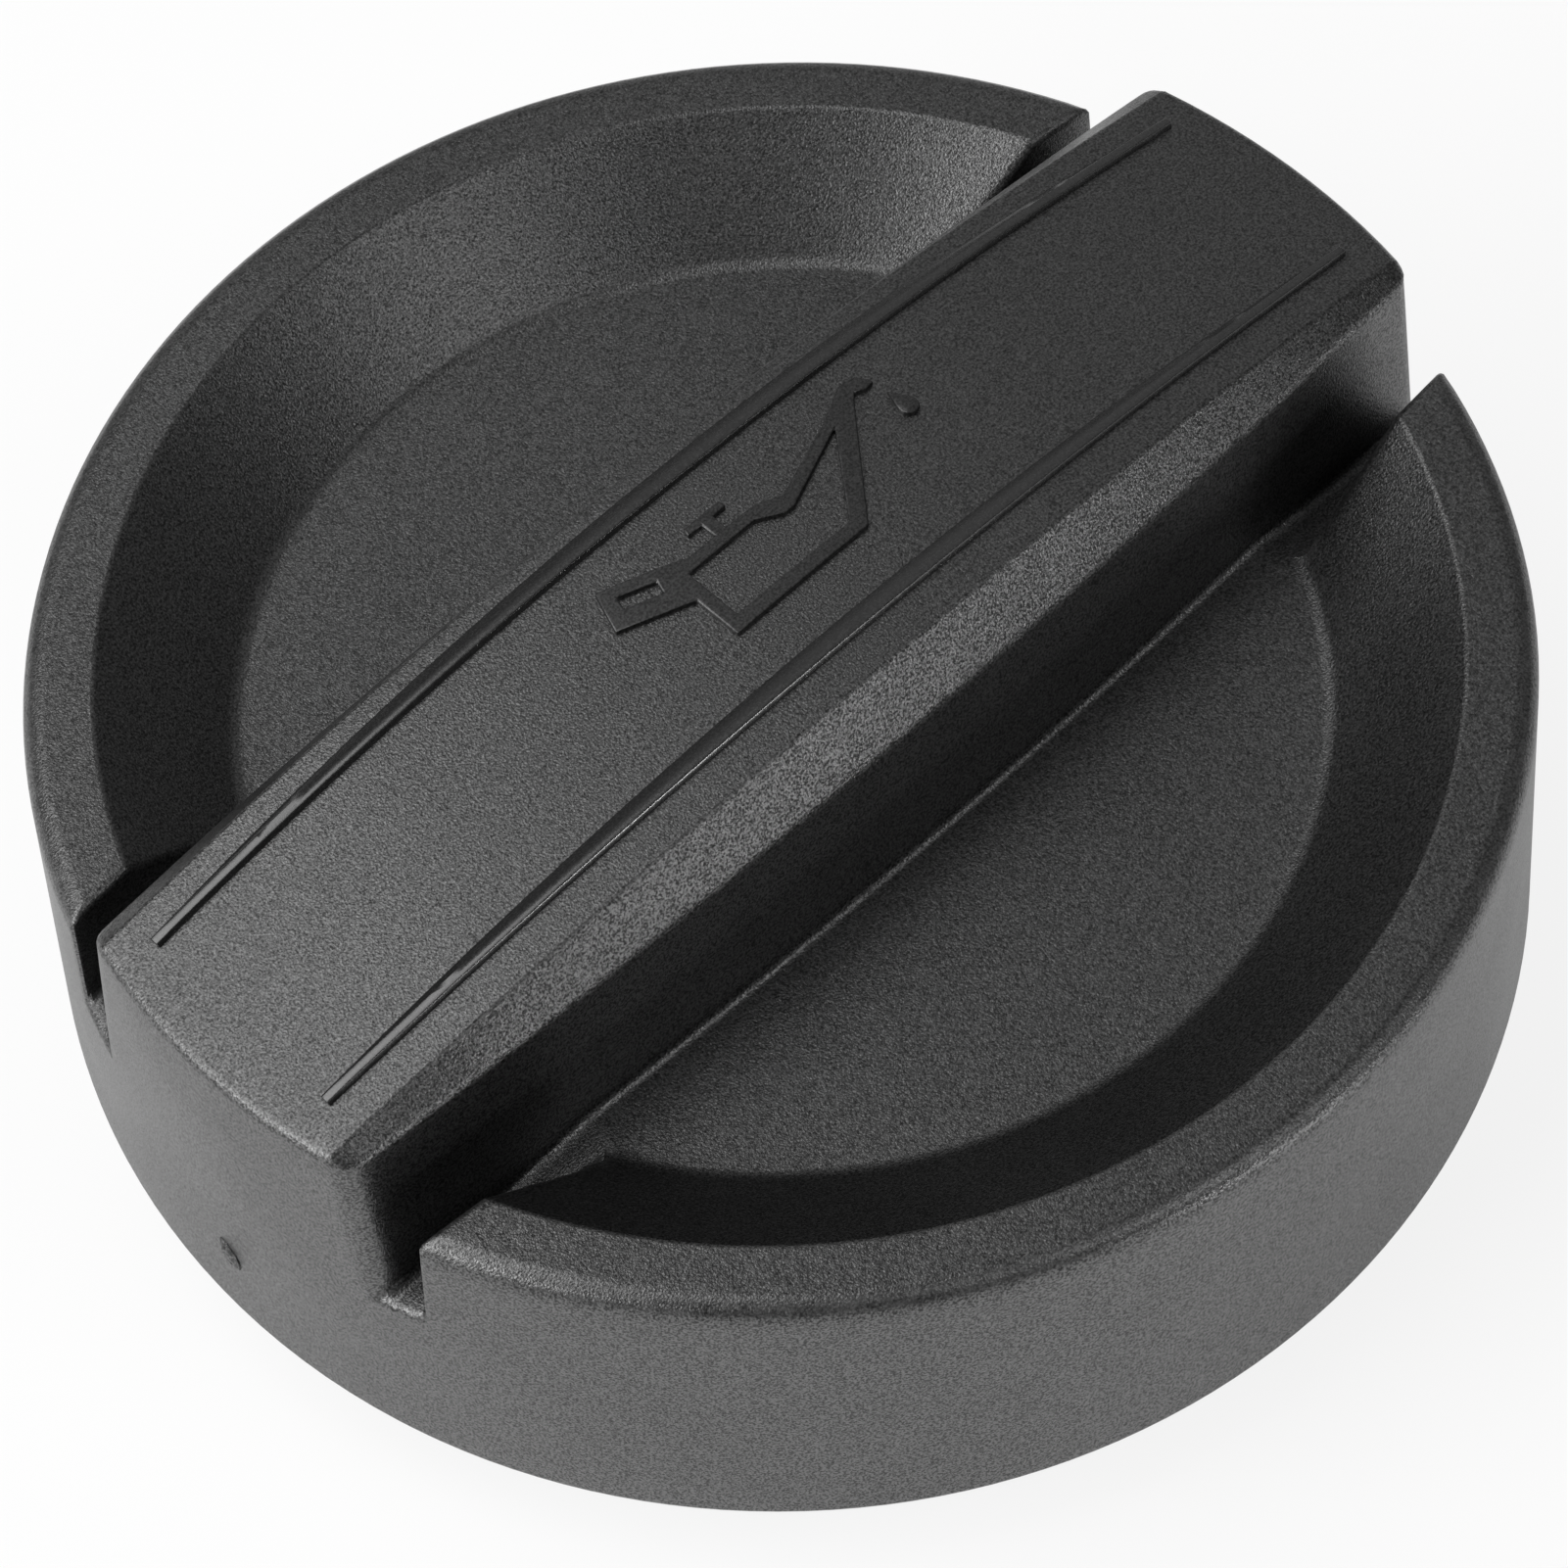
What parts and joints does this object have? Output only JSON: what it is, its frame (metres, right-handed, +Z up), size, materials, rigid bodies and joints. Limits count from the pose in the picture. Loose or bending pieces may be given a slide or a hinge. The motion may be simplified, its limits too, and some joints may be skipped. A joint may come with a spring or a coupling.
{
  "type": "oil filler cap",
  "caption": "Round black moulded oil filler cap with a raised grip bar across a dished recess, an oil-can sign on the bar, a bayonet neck and a sealing ring underneath.",
  "frame": {"origin": "on the cap's axis, in the plane of the neck's lower end", "axes": "+Z up along the cap's axis, from the neck to the grip bar; +X along the grip bar"},
  "size_m": [0.066, 0.066, 0.0278],
  "materials": {
    "black_nylon": "fine matt grain, glass-filled nylon",
    "seal_rubber": "smooth matt rubber"
  },
  "bodies": {
    "root": {"cap_body": "black_nylon", "sealing_ring": "seal_rubber"}
  },
  "joints": []
}
